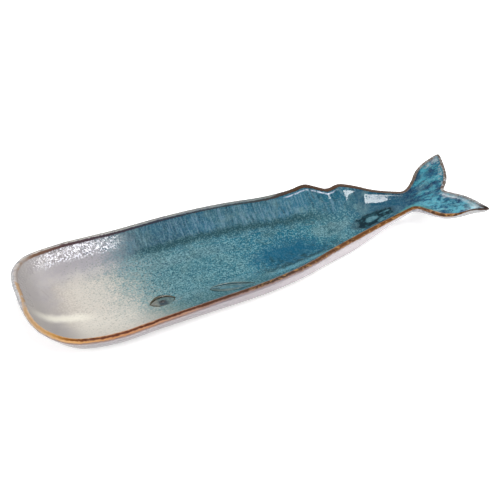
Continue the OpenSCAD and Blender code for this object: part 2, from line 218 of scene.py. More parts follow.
ring_finish, tree, shader = new_finish("rubbed_foot_clay", {"IOR": 1.45})
place = object_place(tree)
grog = grain(tree, place, 0.0007)
iron = rise(tree, grain(tree, place, 0.0014, 1), 0.66, 0.72)
uneven_height = sums(tree, "ADD", in_mm(tree, place, "Z"), grain(tree, place, 0.006))
rubbed = rise(tree, uneven_height, 1.2, 0.4)
colour = tint(tree, grain(tree, place, 0.012, 3), (0.40, 0.30, 0.21), (0.54, 0.43, 0.32))
colour = lay(tree, colour, (0.30, 0.22, 0.16), 0.55, rubbed)
colour = tint(tree, iron, colour, (0.12, 0.07, 0.05))
feed(tree, shader, {"Base Color": colour, "Roughness": scaled(tree, grog, 0.25, 0.55),
                    "Normal": bumps(tree, grog, 0.4, 0.0002)})

foot = cad["foot_ring"]
foot.data.materials.clear()
foot.data.materials.append(ring_finish)
weld = foot.modifiers.new("weld", "WELD")
weld.merge_threshold = 0.00001
rounding = foot.modifiers.new("rounding", "BEVEL")
rounding.width = foot_round
rounding.segments = 2


# Inner glaze: the blue reactive glaze poured over the floor, the inner walls and the top of the tail.
# It runs from cream at the head to teal and deep blue, pools dark where it is low and streaks the walls.
coat_names = ("inner_glaze", "rim_glaze", "outer_glaze")
coat_depth = 0.00035
touching = 1e-5
lip_half = 0.0036
bed_from_lip = 0.008
bed_passes = 36
neck = Vector((0.100, -0.001))
fan_arc = 0.028
slump_size = 0.028
slump_depth = 0.0003
slump_reach = 0.007
clay_near = 0.002
clay_below = 0.0002


def nearest(verts):
    points = KDTree(len(verts))
    for i, v in enumerate(verts):
        points.insert(v.co, i)
    points.balance()
    return points


def coats_at(v):
    return {f.material_index for f in v.link_faces}


under = shell_of("clay_body")
clay_points = nearest(under.verts)
under.free()
bm = shell_of(*coat_names)
hidden = {v for v in bm.verts if clay_points.find(v.co)[2] < touching}
bmesh.ops.delete(bm, geom=[f for f in bm.faces if not hidden.isdisjoint(f.verts)], context="FACES")
bmesh.ops.delete(bm, geom=[v for v in bm.verts if not v.link_faces], context="VERTS")
skin = smooth_through_corners(bm, 2)

inner_edge = nearest([v for v in skin.verts if {0, 1} <= coats_at(v)])
outer_edge = nearest([v for v in skin.verts if {1, 2} <= coats_at(v)])
bed = [v for v in skin.verts if coats_at(v) == {0} and inner_edge.find(v.co)[2] > bed_from_lip]
for _ in range(bed_passes):
    bmesh.ops.smooth_vert(skin, verts=bed, factor=0.5, use_axis_z=True)
skin.normal_update()
lip_layer = skin.verts.layers.float.new("lip")
steep_layer = skin.verts.layers.float.new("steep")
fan_layer = skin.verts.layers.float_vector.new("fan")
turn_layer = skin.verts.layers.float_vector.new("top_turn")
for v in skin.verts:
    to_inner = inner_edge.find(v.co)[2]
    to_outer = outer_edge.find(v.co)[2]
    if coats_at(v) == {0}:
        v[lip_layer] = -lip_half - to_inner
    elif coats_at(v) == {2}:
        v[lip_layer] = lip_half + to_outer
    else:
        v[lip_layer] = lip_half * (to_inner - to_outer) / (to_inner + to_outer)
    v[steep_layer] = 1 - v.normal.z
    out = v.co.xy - neck
    v[fan_layer] = (fan_arc * math.atan2(out.y, out.x), out.length, 0)
for v in skin.verts:
    slump = 0.5 + 0.5 * noise.noise(v.co / slump_size)
    v.co.z -= slump_depth * slump * max(0.0, 1 - abs(v[lip_layer]) / slump_reach)
    v.co.x = min(v.co.x, cad_box[1].x)
skin.normal_update()
for v in skin.verts:
    v[turn_layer] = v.normal
glaze_top = BVHTree.FromBMesh(skin)
for v in clay.vertices:
    top, turn, _, away = glaze_top.find_nearest(v.co)
    over = (v.co - top).dot(turn) + clay_below
    if away < clay_near and over > 0:
        v.co -= turn * over


def coat_mesh(order):
    bm = skin.copy()
    bmesh.ops.delete(bm, geom=[f for f in bm.faces if f.material_index != order], context="FACES")
    turn = bm.verts.layers.float_vector["top_turn"]
    below = list(bm.faces)
    under = list(bm.verts)
    bmesh.ops.extrude_face_region(bm, geom=below, use_keep_orig=True)
    bmesh.ops.reverse_faces(bm, faces=below)
    for v in under:
        v.co -= v[turn] * coat_depth
        v[turn] = -v[turn]
    turns = [v[turn].copy() for v in bm.verts]
    mesh = bpy.data.meshes.new(coat_names[order] + "_fired")
    bm.to_mesh(mesh)
    bm.free()
    mesh.attributes.remove(mesh.attributes["top_turn"])
    for face in mesh.polygons:
        face.use_smooth = True
    mesh.normals_split_custom_set_from_vertices(turns)
    return mesh


def new_group(name, **outputs):
    group = bpy.data.node_groups.new(name, "ShaderNodeTree")
    for label, kind in outputs.items():
        group.interface.new_socket(label, in_out="OUTPUT", socket_type=kind)
    return group, group.nodes.new("NodeGroupOutput")


def placed(tree, group):
    return put(tree, "ShaderNodeGroup", node_tree=group).outputs


def marked(tree, name):
    return put(tree, "ShaderNodeAttribute", attribute_name=name).outputs["Fac"]


def lip_distance(tree):
    return times(tree, marked(tree, "lip"), 1000.0)


def most(tree, first, *others):
    for other in others:
        first = sums(tree, "MAXIMUM", first, other)
    return first


def rest(tree, share):
    return sums(tree, "SUBTRACT", 1.0, share)


def unsigned(tree, value):
    return sums(tree, "ABSOLUTE", value)


def shifted(tree, value, by, span):
    return sums(tree, "ADD", value, scaled(tree, by, span, -0.5 * span))


def between(tree, value, low, high, soft):
    return times(tree, rise(tree, value, low - soft, low + soft), rise(tree, value, high + soft, high - soft))


def blend(tree, share, under, over):
    return put(tree, "ShaderNodeMix", {0: share, 2: under, 3: over}).outputs[0]


dish_half = 170


def shades(tree, value, stops, low=-dish_half, high=dish_half):
    share = put(tree, "ShaderNodeMapRange", {"Value": value, "From Min": low, "From Max": high}).outputs[0]
    ramp = put(tree, "ShaderNodeValToRGB", {"Fac": share})
    bar = ramp.color_ramp
    while len(bar.elements) < len(stops):
        bar.elements.new(1.0)
    for element, (at, colour) in zip(bar.elements, stops):
        element.position = (at - low) / (high - low)
        element.color = (*colour, 1)
    return ramp.outputs["Color"]


def graph(tree, value, points):
    return shades(tree, value, [(at, (height,) * 3) for at, height in points])


def pool(tree, place, at, reach, ragged=0.5, turn=0.0, soft=0.2):
    middle = (at[0] / 1000, at[1] / 1000, 0)
    off = put(tree, "ShaderNodeVectorMath", {0: place, 1: middle}, operation="SUBTRACT").outputs[0]
    off = put(tree, "ShaderNodeVectorRotate", {"Vector": off, "Angle": math.radians(-turn)},
              rotation_type="Z_AXIS").outputs[0]
    off = put(tree, "ShaderNodeVectorMath", {0: off, 1: (1000 / reach[0], 1000 / reach[1], 0)},
              operation="MULTIPLY").outputs[0]
    far = put(tree, "ShaderNodeVectorMath", {0: off}, operation="LENGTH").outputs["Value"]
    far = shifted(tree, far, grain(tree, place, 0.006, 3), ragged * 2)
    return rise(tree, far, 0.95 + soft, 0.95 - soft)


leaf_bow = 0.45


def leaf(tree, x, y, at, turn, size):
    c = 2 * math.cos(math.radians(turn))
    s = 2 * math.sin(math.radians(turn))
    right = sums(tree, "SUBTRACT", x, at[0])
    up = sums(tree, "SUBTRACT", y, at[1])
    u = sums(tree, "ADD", times(tree, right, c / size[0]), times(tree, up, s / size[0]))
    v = sums(tree, "SUBTRACT", times(tree, up, c / size[1]), times(tree, right, s / size[1]))
    edge = most(tree, rest(tree, times(tree, u, u)), 0.002)
    return u, sums(tree, "DIVIDE", v, sums(tree, "POWER", edge, (1 + leaf_bow) / 2))


reactive, ends = new_group("reactive_glaze", Color="NodeSocketColor", Height="NodeSocketFloat",
                           Roughness="NodeSocketFloat")
tree = reactive
place = object_place(tree)
elsewhere = put(tree, "ShaderNodeVectorMath", {0: place, 1: (0.31, 0.17, 0.0)}, operation="ADD").outputs[0]
x, y, z = (in_mm(tree, place, axis) for axis in "XYZ")
lip = lip_distance(tree)
steep = marked(tree, "steep")
fine = grain(tree, place, 0.0012, 2, 0.6)
middle = grain(tree, place, 0.0052, 3, 0.6)
broad = grain(tree, place, 0.026)
swirl = grain(tree, place, 0.0034, 4, 0.7)
streak = grain(tree, place, 0.0014, 3, 0.6, (1, 0.14, 0.14))
back = rise(tree, y, -4.0, 6.0)
near = rise(tree, y, 0.0, -5.0)
head = rise(tree, x, -72.0, -96.0)
head_end = rise(tree, x, -128.0, -150.0)
tail = rise(tree, x, 110.0, 128.0)
head_wall = rise(tree, shifted(tree, lip, middle, 12.0), -38.0, -17.0)
wall = blend(tree, head, rise(tree, steep, 0.02, 0.11), head_wall)
back_wall = times(tree, wall, most(tree, back, head_end))

# Floor and back wall, from cream through teal to deep blue
along = sums(tree, "ADD", x, times(tree, y, 0.20))
for pattern, span in ((broad, 30.0), (middle, 26.0), (fine, 80.0)):
    along = shifted(tree, along, pattern, span)
floor_colour = shades(tree, along, (
    (-155, (0.39, 0.35, 0.31)), (-122, (0.565, 0.53, 0.475)), (-104, (0.44, 0.435, 0.40)),
    (-88, (0.25, 0.31, 0.30)), (-70, (0.100, 0.205, 0.23)), (-46, (0.056, 0.168, 0.205)),
    (-18, (0.046, 0.175, 0.225)), (4, (0.026, 0.155, 0.222)), (26, (0.008, 0.11, 0.18)),
    (46, (0.014, 0.14, 0.20)), (64, (0.056, 0.19, 0.235)), (82, (0.016, 0.11, 0.16)),
    (100, (0.010, 0.070, 0.12)), (120, (0.010, 0.065, 0.12))))
wall_colour = shades(tree, shifted(tree, shifted(tree, x, middle, 26.0), fine, 30.0), (
    (-158, (0.38, 0.355, 0.335)), (-138, (0.31, 0.288, 0.30)), (-108, (0.275, 0.265, 0.29)),
    (-90, (0.12, 0.16, 0.19)), (-70, (0.030, 0.085, 0.125)), (-46, (0.019, 0.076, 0.122)),
    (-20, (0.016, 0.096, 0.162)), (44, (0.016, 0.112, 0.182)), (60, (0.018, 0.118, 0.178)),
    (86, (0.010, 0.092, 0.148)), (108, (0.012, 0.070, 0.12)), (122, (0.008, 0.055, 0.10))))
colour = tint(tree, back_wall, floor_colour, wall_colour)

# Thicker and thinner places of the floor: cream at the jaw, deep blue in the middle, and a pale band along
# the jaw that is a painted highlight
cheek = times(tree, rise(tree, steep, -0.02, 0.03), rise(tree, y, -10.0, -20.0), rise(tree, x, -84.0, -104.0),
              rise(tree, x, -152.0, -130.0))
colour = lay(tree, colour, (0.69, 0.66, 0.59), 0.55, cheek)
# Painted highlight: a pale band along the foot of the jaw wall
jaw_line = unsigned(tree, scaled(tree, sums(tree, "ADD", x, 158.0), 0.28, sums(tree, "ADD", y, 5.8)))
jaw_painted_highlight = times(tree, rise(tree, shifted(tree, jaw_line, middle, 4.0), 6.8, 0.6),
                  between(tree, x, -158.0, -126.0, 9.0))
colour = lay(tree, colour, (0.735, 0.705, 0.615), 0.90, jaw_painted_highlight)
mist = times(tree, head_end, rise(tree, y, 0.0, 14.0), wall)
colour = lay(tree, colour, (0.39, 0.37, 0.39), 0.30, mist)
shelf = times(tree, between(tree, lip, -40.0, -30.0, 2.5), back, between(tree, x, -84.0, -14.0, 16.0))
colour = lay(tree, colour, (0.20, 0.30, 0.33), 0.35, shelf)
deep = pool(tree, place, (24, -5), (25.5, 11.5), ragged=0.8, soft=0.55)
colour = lay(tree, colour, (0.003, 0.085, 0.155), 0.80, deep)
thin_patch = pool(tree, place, (62, 7), (15, 7))
colour = lay(tree, colour, (0.20, 0.31, 0.32), 0.40, thin_patch)
blots = rise(tree, grain(tree, place, 0.0075, 2, 0.5, (0.4, 1, 1)), 0.58, 0.68)
colour = lay(tree, colour, (0.010, 0.085, 0.12), 0.60, blots, between(tree, x, -70.0, 90.0, 12.0))

# Runs on the walls
runs = times(tree, back_wall, rise(tree, x, -100.0, -60.0))
colour = lay(tree, colour, (0.056, 0.125, 0.132), 0.38, runs, rise(tree, broad, 0.50, 0.62))
colour = lay(tree, colour, (0.125, 0.22, 0.295), 0.62, runs, rise(tree, streak, 0.50, 0.66))
colour = lay(tree, colour, (0.007, 0.042, 0.070), 0.85, runs, rise(tree, streak, 0.48, 0.34))
belly_wall = times(tree, rise(tree, steep, 0.01, 0.08), rise(tree, y, 0.0, -6.0), rise(tree, x, -96.0, -66.0),
                   rise(tree, x, 66.0, 40.0))
colour = tint(tree, times(tree, belly_wall, 0.75), colour, (0.55, 0.72, 0.70), "MULTIPLY")
strip = times(tree, between(tree, shifted(tree, z, middle, 4.0), 10.6, 14.0, 0.8), near,
              between(tree, x, 2.0, 62.0, 9.0))
colour = lay(tree, colour, (0.095, 0.32, 0.43), 0.88, strip)
slant = scaled(tree, y, -0.4, x)
dark_run = times(tree, between(tree, shifted(tree, slant, swirl, 3.0), 81.3, 88.3, 0.6),
                 rise(tree, y, 10.0, 14.0))
colour = lay(tree, colour, (0.008, 0.060, 0.105), 0.75, dark_run)

# Flukes, ribbed outwards from the neck, with pale trailing edges and tips
fan_place = put(tree, "ShaderNodeAttribute", attribute_name="fan").outputs["Vector"]
bearing = times(tree, in_mm(tree, fan_place, "X"), 0.001 / fan_arc)
reach = in_mm(tree, fan_place, "Y")
ribs = grain(tree, fan_place, 0.0026, 4, 0.65, (1, 0.20, 1))
flow = grain(tree, fan_place, 0.0036, 4, 0.7, (1, 0.34, 1))
teal = tint(tree, rise(tree, flow, 0.40, 0.60), (0.005, 0.065, 0.140), (0.050, 0.265, 0.335))
teal = lay(tree, teal, (0.003, 0.022, 0.070), 0.92, rise(tree, ribs, 0.50, 0.40))
teal = lay(tree, teal, (0.17, 0.38, 0.44), 0.72, rise(tree, ribs, 0.58, 0.66))
stem = times(tree, rise(tree, shifted(tree, reach, ribs, 30.0), 38.0, 26.0), rise(tree, y, -10.0, 0.0))
teal = lay(tree, teal, (0.004, 0.030, 0.075), 0.85, stem)
near_fluke = rise(tree, y, 0.0, -6.0)
teal = lay(tree, teal, (0.13, 0.43, 0.53), 0.55, near_fluke, rise(tree, flow, 0.42, 0.56))
margin = rise(tree, shifted(tree, lip, ribs, 8.0), -7.5, -4.0)
trailing = times(tree, margin, near_fluke, rise(tree, bearing, -0.52, -0.44), rise(tree, ribs, 0.40, 0.56))
patches = times(tree, margin, rise(tree, swirl, 0.50, 0.60), rise(tree, x, 148.0, 156.0))
tips = rise(tree, shifted(tree, unsigned(tree, y), swirl, 10.0), 31.0, 36.0)
thin_edge = tint(tree, swirl, (0.36, 0.37, 0.42), (0.42, 0.44, 0.42))
teal = lay(tree, teal, thin_edge, 0.72, most(tree, trailing, patches, tips))
colour = tint(tree, tail, colour, teal)
strand = times(tree, between(tree, shifted(tree, lip, swirl, 2.0), -7.0, -4.4, 0.6), rise(tree, y, 0.0, -4.0),
               between(tree, x, 106.0, 136.0, 5.0))
colour = lay(tree, colour, (0.06, 0.25, 0.23), 0.75, strand)

# Clouds and the salt and pepper grain of the blue
blue_side = rise(tree, along, -104.0, -70.0)
cloud = grain(tree, elsewhere, 0.011, 3, 0.6)
colour = lay(tree, colour, (0.15, 0.25, 0.25), 0.30, rise(tree, cloud, 0.52, 0.66), blue_side)
colour = lay(tree, colour, (0.030, 0.13, 0.20), 0.35, rise(tree, cloud, 0.46, 0.32), blue_side)
colour = lay(tree, colour, (0.13, 0.27, 0.30), 0.22, rise(tree, middle, 0.54, 0.70), blue_side)
colour = lay(tree, colour, (0.010, 0.085, 0.125), 0.40, rise(tree, middle, 0.46, 0.30), blue_side)
wall_foot = times(tree, between(tree, shifted(tree, z, middle, 4.0), 8.3, 11.0, 1.2), back,
                  between(tree, x, -78.0, 66.0, 14.0))
colour = lay(tree, colour, (0.004, 0.046, 0.060), 0.92, wall_foot)
off_walls = rest(tree, times(tree, most(tree, back_wall, wall_foot), 0.70))
grainy = times(tree, scaled(tree, rise(tree, x, 66.0, 100.0), -0.8, 1.0), off_walls)
salt = most(tree, rise(tree, grain(tree, place, 0.0009, 0), 0.54, 0.66),
            rise(tree, grain(tree, place, 0.0016, 0), 0.61, 0.70))
salt_share = scaled(tree, deep, -0.36, 0.60)
colour = lay(tree, colour, (0.215, 0.41, 0.44), salt_share, salt, grainy, blue_side)
pepper = rise(tree, grain(tree, elsewhere, 0.0013, 1), 0.54, 0.64)
colour = lay(tree, colour, (0.010, 0.065, 0.095), 0.80, pepper, grainy, blue_side)
specks = rise(tree, grain(tree, place, 0.0011, 0), 0.37, 0.28)
speck_share = scaled(tree, blue_side, -0.40, 0.50)
colour = lay(tree, colour, (0.12, 0.15, 0.13), speck_share, specks, rise(tree, x, -150.0, -112.0))
colour = lay(tree, colour, (0.002, 0.085, 0.160), 0.55, deep)
ledge = times(tree, between(tree, shifted(tree, z, middle, 5.0), 7.9, 9.8, 0.6), near,
              between(tree, x, -2.0, 64.0, 8.0))
colour = lay(tree, colour, (0.006, 0.045, 0.060), 0.85, ledge, rise(tree, swirl, 0.42, 0.54))

# Dark pool at the neck, with three pale islands in it
dark = times(tree, pool(tree, place, (92, -0.8), (19, 6.8), 0.50, -2),
             rise(tree, shifted(tree, x, middle, 16.0), 72.0, 84.0))
islands = most(tree, pool(tree, place, (91.2, -0.8), (5.8, 2.4), 0.60, -8),
               pool(tree, place, (100.3, -5.0), (6.6, 2.0), 0.55, 2),
               pool(tree, place, (103, 0.8), (3.8, 0.9), 0.45, -4))
islands = times(tree, islands, rise(tree, swirl, 0.30, 0.50))
pool_colour = tint(tree, rise(tree, swirl, 0.46, 0.66), (0.002, 0.014, 0.022), (0.022, 0.080, 0.10))
island_colour = tint(tree, rise(tree, swirl, 0.36, 0.64), (0.03, 0.12, 0.15), (0.13, 0.27, 0.31))
pool_share = scaled(tree, islands, -0.25, 0.95)
colour = lay(tree, colour, tint(tree, islands, pool_colour, island_colour), pool_share, dark)

# Eye and flipper, stained by the slip that lies on them; darker bands run along the upper lid and the flipper
# outline
eye_low, eye_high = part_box("eye_line")
eye_mid = (eye_low + eye_high) * 500
eye_turn = 2
eye_size = (18.2, 11.6)
u, v = leaf(tree, x, y, eye_mid, eye_turn, eye_size)
inside = rise(tree, unsigned(tree, v), 1.02, 0.86)
to_corner = rise(tree, shifted(tree, u, fine, 0.8), -0.7, 0.1)
colour = lay(tree, colour, tint(tree, to_corner, (0.165, 0.135, 0.10), (0.070, 0.105, 0.10)), 0.66, inside)
stare = times(tree, between(tree, shifted(tree, u, fine, 0.3), -0.34, 0.30, 0.1),
              between(tree, v, -0.85, 0.30, 0.25))
colour = lay(tree, colour, (0.022, 0.034, 0.050), 0.85, stare)
# A dark band along the inside of the upper lid
brow = times(tree, between(tree, v, 0.72, 1.30, 0.12), rise(tree, unsigned(tree, u), 1.04, 0.98))
colour = lay(tree, colour, (0.026, 0.028, 0.020), 0.80, brow)
fin_low, fin_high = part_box("fin_line")
fin_mid = (fin_low + fin_high) * 500
fin_turn = -24
fin_size = (30.6, 12.6)
u, v = leaf(tree, x, y, fin_mid, fin_turn, fin_size)
inside = rise(tree, unsigned(tree, v), 1.0, 0.85)
veins = rise(tree, grain(tree, place, 0.0016, 3, 0.6, (0.35, 1, 1)), 0.42, 0.60)
colour = lay(tree, colour, tint(tree, veins, (0.03, 0.11, 0.14), (0.19, 0.29, 0.36)), 0.28, inside)
root = times(tree, between(tree, shifted(tree, u, fine, 0.2), -1.05, -0.62, 0.1),
             between(tree, v, -1.2, 0.2, 0.3))
line = times(tree, rise(tree, unsigned(tree, sums(tree, "SUBTRACT", unsigned(tree, v), 0.92)), 0.24, 0.08),
             rise(tree, unsigned(tree, u), 1.0, 0.96))
colour = lay(tree, colour, (0.006, 0.032, 0.036), 0.85, most(tree, root, line))

# Painted light on the walls: white glints on the head wall and pale slivers of reflection below the humps
glint_zone = times(tree, head, back, rise(tree, shifted(tree, z, middle, 5.0), 12.5, 15.0))
# White specks painted on the glossy, bumpy head wall: painted glints of light, over the real reflections
painted_glints = times(tree, glint_zone, rise(tree, grain(tree, elsewhere, 0.0013, 0.5), 0.52, 0.62),
               between(tree, x, -143.0, -92.0, 8.0))
colour = lay(tree, colour, (0.84, 0.84, 0.92), 0.78, painted_glints)
# Painted reflection: thin pale lines just under the lip below the humps, also made glossy
painted_reflection_line = times(tree, between(tree, shifted(tree, lip, swirl, 1.4), -4.5, -3.5, 0.4), back,
               between(tree, x, 42.0, 80.0, 4.0), rest(tree, between(tree, x, 61.0, 63.0, 0.8)))
colour = lay(tree, colour, (0.62, 0.68, 0.82), 0.72, painted_reflection_line, rise(tree, swirl, 0.34, 0.52))

# Relief and gloss: satin on the slopes, wet on the glinting head wall and on the wall below the humps
peel = times(tree, grain(tree, place, 0.0016, 0.3), scaled(tree, glint_zone, 0.32, 0.04))
relief = sums(tree, "ADD", peel, times(tree, streak, runs, 0.05))
satin = times(tree, rise(tree, steep, 0.002, 0.022), rest(tree, dark))
gloss = blend(tree, head, blend(tree, satin, 0.10, 0.88), 0.50)
ragged_y = shifted(tree, y, swirl, 2.0)
low_edge = scaled(tree, between(tree, x, 81.0, 86.0, 1.2), -3.2, 28.6)
notch = times(tree, rise(tree, sums(tree, "SUBTRACT", ragged_y, low_edge), 0.4, -0.4),
              rise(tree, slant, 86.0, 83.0))
wet_end = most(tree, rise(tree, scaled(tree, x, 0.644, ragged_y), 73.6, 75.2), rise(tree, x, 96.0, 92.0))
wet = times(tree, rise(tree, x, 60.0, 68.0), rise(tree, z, 14.0, 16.0), back,
            rest(tree, most(tree, dark_run, notch)), wet_end)
gloss = blend(tree, most(tree, glint_zone, wet, painted_reflection_line), gloss, 0.05)
feed(tree, ends, {"Color": colour, "Height": relief, "Roughness": blend(tree, tail, gloss, 0.26)})

# Brown break along the lip: dark and thin at the back, rust and wide in front
lip_break, ends = new_group("lip_break", Color="NodeSocketColor", Mask="NodeSocketFloat")
tree = lip_break
place = object_place(tree)
x, y = (in_mm(tree, place, axis) for axis in "XY")
lip = lip_distance(tree)
mottle = grain(tree, place, 0.0022, 3, 0.65)
front = rise(tree, shifted(tree, y, grain(tree, place, 0.02), 6.0), 2.0, -8.0)
behind = rest(tree, front)
humps = rise(tree, x, 28.0, 48.0)
trailing = times(tree, rise(tree, scaled(tree, x, 1.11, y), 150.0, 153.0), rise(tree, y, -2.0, -6.0),
                 rise(tree, x, 134.0, 142.0))
leading = times(tree, front, rest(tree, trailing), rise(tree, x, 129.0, 133.0))
band = sums(tree, "ADD", scaled(tree, front, 2.3, -1.7), times(tree, humps, behind, 1.9))
band = sums(tree, "ADD", band, times(tree, leading, scaled(tree, rise(tree, x, 152.0, 142.0), 3.1, -1.2)))
back_width = graph(tree, x, (
    (-168, 1.0), (-152, 0.60), (-60, 0.40), (-10, 0.26), (30, 0.42), (46, 0.82), (70, 1.0), (110, 1.05),
    (125, 0.80), (168, 0.70)))
front_width = graph(tree, x, (
    (-168, 0.60), (-150, 0.90), (-125, 0.95), (-90, 0.84), (-30, 0.80), (40, 0.90), (100, 0.96),
    (124, 0.90), (132, 1.45), (143, 1.3), (152, 1.1), (162, 1.5)))
far = unsigned(tree, sums(tree, "SUBTRACT", lip, band))
far = sums(tree, "DIVIDE", shifted(tree, far, mottle, 1.7), blend(tree, front, back_width, front_width))
core = shades(tree, x, (
    (-168, (0.42, 0.27, 0.15)), (-156, (0.43, 0.23, 0.07)), (-147, (0.20, 0.065, 0.010)),
    (-138, (0.085, 0.018, 0.003)), (-120, (0.085, 0.014, 0.002)), (-60, (0.070, 0.020, 0.006)),
    (0, (0.055, 0.030, 0.019)), (50, (0.12, 0.050, 0.020)), (110, (0.13, 0.048, 0.012)),
    (146, (0.085, 0.030, 0.008)), (158, (0.030, 0.018, 0.014))))
fringe = shades(tree, x, (
    (-168, (0.50, 0.36, 0.24)), (-150, (0.60, 0.34, 0.14)), (-120, (0.50, 0.235, 0.10)),
    (-40, (0.29, 0.19, 0.17)), (20, (0.25, 0.165, 0.14)), (60, (0.28, 0.14, 0.07)),
    (140, (0.29, 0.135, 0.040)), (156, (0.10, 0.062, 0.045))))
core_reach = blend(tree, rise(tree, x, -90.0, -50.0), 1.0, 0.74)
rust = tint(tree, rise(tree, times(tree, far, core_reach), 0.40, 1.15), core, fringe)
flecks = times(tree, rise(tree, grain(tree, place, 0.0016, 2, 0.5, (0.5, 1, 1)), 0.54, 0.62),
               rise(tree, x, -40.0, 0.0), rise(tree, x, 156.0, 148.0))
rust = lay(tree, rust, (0.44, 0.24, 0.09), 0.60, flecks)
burnt = times(tree, rise(tree, grain(tree, place, 0.0024, 2, 0.5, (0.4, 1, 1)), 0.46, 0.36),
              rise(tree, x, 20.0, 60.0))
rust = lay(tree, rust, (0.035, 0.016, 0.009), 0.70, burnt)
back_brown = shades(tree, x, (
    (-168, (0.46, 0.30, 0.17)), (-150, (0.20, 0.115, 0.075)), (-125, (0.085, 0.050, 0.055)),
    (-60, (0.036, 0.043, 0.062)), (10, (0.045, 0.062, 0.072)), (50, (0.070, 0.038, 0.022)),
    (85, (0.095, 0.055, 0.036)), (160, (0.12, 0.09, 0.07))))
tail_bare = times(tree, rise(tree, mottle, 0.46, 0.58), rise(tree, x, 122.0, 150.0), rest(tree, leading))
head_bare = times(tree, behind, rise(tree, x, -148.0, -158.0),
                  rise(tree, grain(tree, place, 0.012), 0.48, 0.58))
bare = most(tree, tail_bare, times(tree, trailing, 0.5), head_bare)
broken = times(tree, rise(tree, far, 2.4, 1.6), scaled(tree, bare, -0.8, 1.0))
feed(tree, ends, {"Color": tint(tree, front, back_brown, rust), "Mask": broken})

inner_finish, tree, shader = new_finish("reactive_inner_glaze", {"IOR": 1.42})
glaze = placed(tree, reactive)
brown = placed(tree, lip_break)
feed(tree, shader, {"Base Color": tint(tree, brown["Mask"], glaze["Color"], brown["Color"]),
                    "Roughness": glaze["Roughness"], "Normal": bumps(tree, glaze["Height"], 1.0, 0.001)})
show("inner_glaze_fired", coat_mesh(0), inner_finish, "inner_glaze", "inner_glaze")


# Rim glaze: the band round the lip, where the glaze drains thin in the firing and breaks to rust brown.
# It joins the blue glaze inside to the pale glaze outside.
pale, ends = new_group("pale_glaze", Color="NodeSocketColor", Height="NodeSocketFloat")
tree = pale
place = object_place(tree)
x, y, z = (in_mm(tree, place, axis) for axis in "XYZ")
lip = lip_distance(tree)
cloud = grain(tree, place, 0.016, 3)
colour = shades(tree, shifted(tree, x, cloud, 60.0), (
    (-165, (0.27, 0.215, 0.20)), (-130, (0.195, 0.162, 0.175)), (-80, (0.215, 0.175, 0.195)),
    (0, (0.365, 0.31, 0.34)), (60, (0.575, 0.515, 0.54)), (104, (0.58, 0.53, 0.555)),
    (122, (0.52, 0.50, 0.53)), (170, (0.50, 0.51, 0.50))))
# Crest colour along the lip: pale at the head end, where it is partly a painted reflection of the sky, and
# the glaze's own colour elsewhere
crest = shades(tree, x, (
    (-168, (0.54, 0.53, 0.53)), (-146, (0.42, 0.385, 0.34)), (-100, (0.31, 0.30, 0.275)),
    (-20, (0.21, 0.225, 0.22)), (20, (0.18, 0.205, 0.19)), (60, (0.17, 0.15, 0.12)),
    (110, (0.16, 0.12, 0.09)), (150, (0.30, 0.29, 0.27)), (168, (0.40, 0.40, 0.38))))
mottle = rise(tree, grain(tree, place, 0.0024, 3, 0.65, (0.5, 1, 1)), 0.46, 0.60)
crest = lay(tree, crest, (0.10, 0.115, 0.15), 0.45, mottle)
back_crest = times(tree, rise(tree, y, 4.0, 16.0), rise(tree, lip, 5.0, 2.5))
head_crest = times(tree, rise(tree, x, -150.0, -160.0), rise(tree, lip, 4.5, 2.0))
colour = tint(tree, most(tree, back_crest, head_crest), colour, crest)
base_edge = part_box("outer_glaze")[0].z * 1000
edge_colour = tint(tree, rise(tree, x, -152.0, -120.0), (0.22, 0.12, 0.07), (0.15, 0.13, 0.135))
colour = lay(tree, colour, edge_colour, 0.55, rise(tree, z, base_edge + 1.5, base_edge + 0.5))
peach = times(tree, between(tree, lip, 1.5, 5.2, 1.5), rise(tree, y, 2.0, -10.0),
              between(tree, x, -160.0, -60.0, 20.0))
colour = lay(tree, colour, (0.42, 0.24, 0.16), 0.40, peach)
specks = rise(tree, grain(tree, place, 0.0014, 1), 0.60, 0.70)
colour = lay(tree, colour, (0.22, 0.17, 0.18), 0.45, specks)
drifts = rise(tree, grain(tree, place, 0.004, 3, 0.6, (0.3, 1, 1)), 0.54, 0.68)
colour = lay(tree, colour, (0.44, 0.33, 0.33), 0.12, drifts)
slate = times(tree, rise(tree, grain(tree, place, 0.0034, 3, 0.65), 0.40, 0.54),
              between(tree, x, 116.0, 132.0, 4.0), rise(tree, y, 0.0, -8.0), rise(tree, lip, 9.0, 5.0))
colour = lay(tree, colour, (0.075, 0.08, 0.12), 0.80, slate)
feed(tree, ends, {"Color": colour, "Height": grain(tree, place, 0.0030)})

rim_finish, tree, shader = new_finish("breaking_rim_glaze", {"IOR": 1.5, "Specular IOR Level": 0.10})
x = in_mm(tree, object_place(tree), "X")
glaze = placed(tree, reactive)
wash = placed(tree, pale)
brown = placed(tree, lip_break)
colour = tint(tree, rise(tree, lip_distance(tree), -2.4, 0.0), glaze["Color"], wash["Color"])
brown_gloss = blend(tree, rise(tree, x, -146.0, -126.0), 0.12, 0.42)
gloss = blend(tree, brown["Mask"], most(tree, glaze["Roughness"], 0.10), brown_gloss)
feed(tree, shader, {"Base Color": tint(tree, brown["Mask"], colour, brown["Color"]), "Roughness": gloss,
                    "Normal": bumps(tree, wash["Height"], 0.4, 0.0003)})
show("rim_glaze_fired", coat_mesh(1), rim_finish, "rim_glaze", "rim_glaze")


